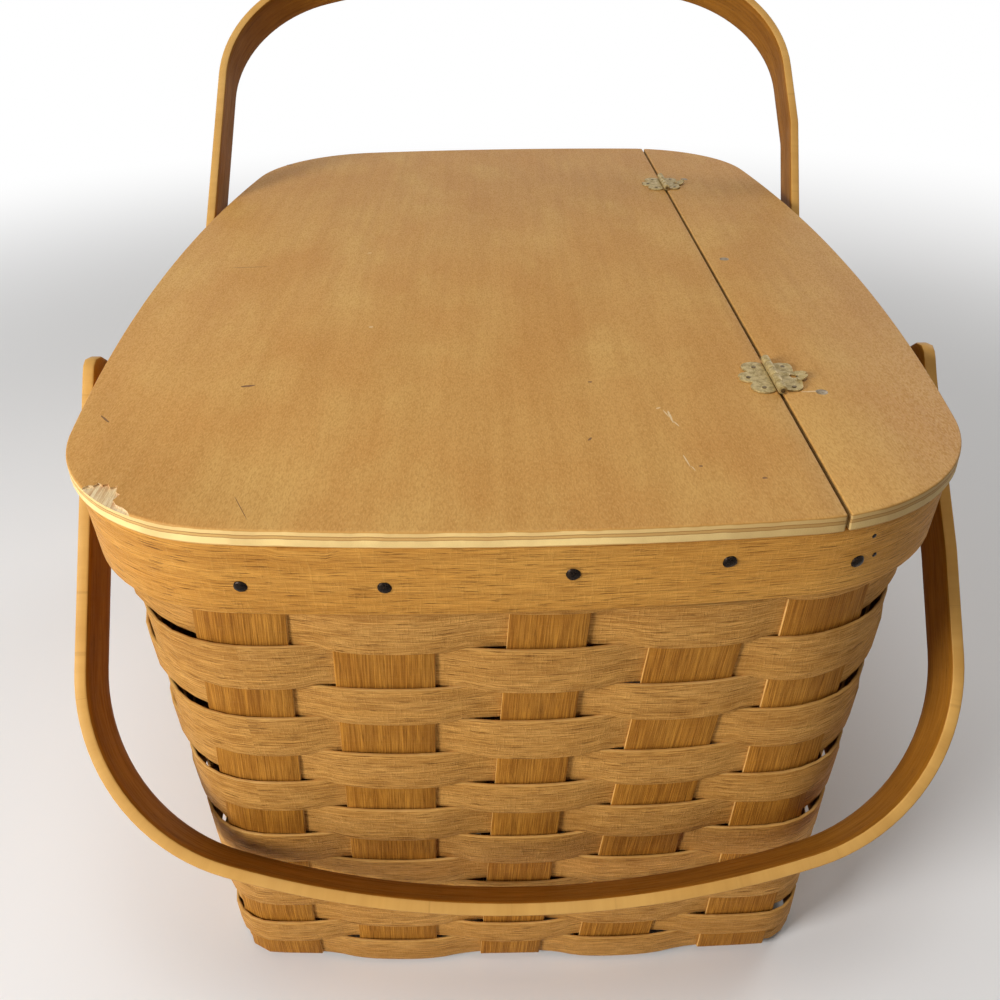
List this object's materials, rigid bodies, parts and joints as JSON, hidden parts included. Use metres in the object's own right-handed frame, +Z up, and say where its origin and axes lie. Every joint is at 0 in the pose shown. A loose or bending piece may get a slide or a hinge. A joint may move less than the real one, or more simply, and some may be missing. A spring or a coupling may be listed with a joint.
{
  "type": "lidded woven basket",
  "caption": "Woven wood-strip basket with bowed sides, a hinged plywood lid on a fixed strip, and two swinging bentwood handles.",
  "frame": {"origin": "middle of the base, on the surface that the basket stands on", "axes": "+Z up, +Y along the basket's length to the raised handle, +X across it to the hinged side of the lid"},
  "size_m": [0.3548, 0.5187, 0.3855],
  "materials": {
    "lid_plywood": "satin tan veneer",
    "rim_wood": "satin clear coat",
    "stake_wood": "satin clear coat",
    "weaver_wood": "satin clear coat",
    "handle_wood": "satin clear coat",
    "rivet_steel": "dull",
    "spacer_wood": "plain",
    "tack_steel": "dark japanned",
    "nail_steel": "dull",
    "hinge_brass": "tarnished",
    "pin_steel": "rusty",
    "hinge_nail_brass": "tarnished"
  },
  "bodies": {
    "basket": {"lid_strip": "lid_plywood", "rim_outer": "rim_wood", "rim_inner": "rim_wood", "long_stake_1": "stake_wood", "long_stake_2": "stake_wood", "long_stake_3": "stake_wood", "long_stake_4": "stake_wood", "long_stake_5": "stake_wood", "cross_stake_1": "stake_wood", "cross_stake_2": "stake_wood", "cross_stake_3": "stake_wood", "cross_stake_4": "stake_wood", "cross_stake_5": "stake_wood", "cross_stake_6": "stake_wood", "cross_stake_7": "stake_wood", "weaver_row_00": "weaver_wood", "weaver_row_01": "weaver_wood", "weaver_row_02": "weaver_wood", "weaver_row_03": "weaver_wood", "weaver_row_04": "weaver_wood", "weaver_row_05": "weaver_wood", "weaver_row_06": "weaver_wood", "weaver_row_07": "weaver_wood", "weaver_row_08": "weaver_wood", "weaver_row_09": "weaver_wood", "weaver_row_10": "weaver_wood", "weaver_row_11": "weaver_wood", "weaver_row_12": "weaver_wood", "weaver_row_13": "weaver_wood", "rivet_front_left": "rivet_steel", "rivet_front_right": "rivet_steel", "rivet_back_left": "rivet_steel", "rivet_back_right": "rivet_steel", "spacer_front_left": "spacer_wood", "spacer_front_right": "spacer_wood", "spacer_back_left": "spacer_wood", "spacer_back_right": "spacer_wood", "rim_tacks": "tack_steel", "strip_batten": "spacer_wood", "batten_brads": "nail_steel", "strip_nails": "nail_steel", "hinge_front_strip_leaf": "hinge_brass", "hinge_back_strip_leaf": "hinge_brass", "hinge_front_pin": "pin_steel", "hinge_back_pin": "pin_steel", "hinge_nails_strip": "hinge_nail_brass"},
    "lid": {"lid_leaf": "lid_plywood", "hinge_front_lid_leaf": "hinge_brass", "hinge_back_lid_leaf": "hinge_brass", "hinge_nails_lid": "hinge_nail_brass"},
    "front_handle": {"front_handle": "handle_wood"},
    "back_handle": {"back_handle": "handle_wood"}
  },
  "joints": [
    {"name": "lid_hinge", "type": "hinge", "parent": "basket", "child": "lid", "pos_m": [0.1, 0, 0.26375], "axis": [0, 1, 0], "range_deg": [0, 95]},
    {"name": "front_handle_swing", "type": "hinge", "parent": "basket", "child": "front_handle", "pos_m": [0, -0.106, 0.242], "axis": [-1, 0, 0], "range_deg": [0, 91.7]},
    {"name": "back_handle_swing", "type": "hinge", "parent": "basket", "child": "back_handle", "pos_m": [0, 0.106, 0.242], "axis": [1, 0, 0], "range_deg": [-91.7, 0]}
  ]
}
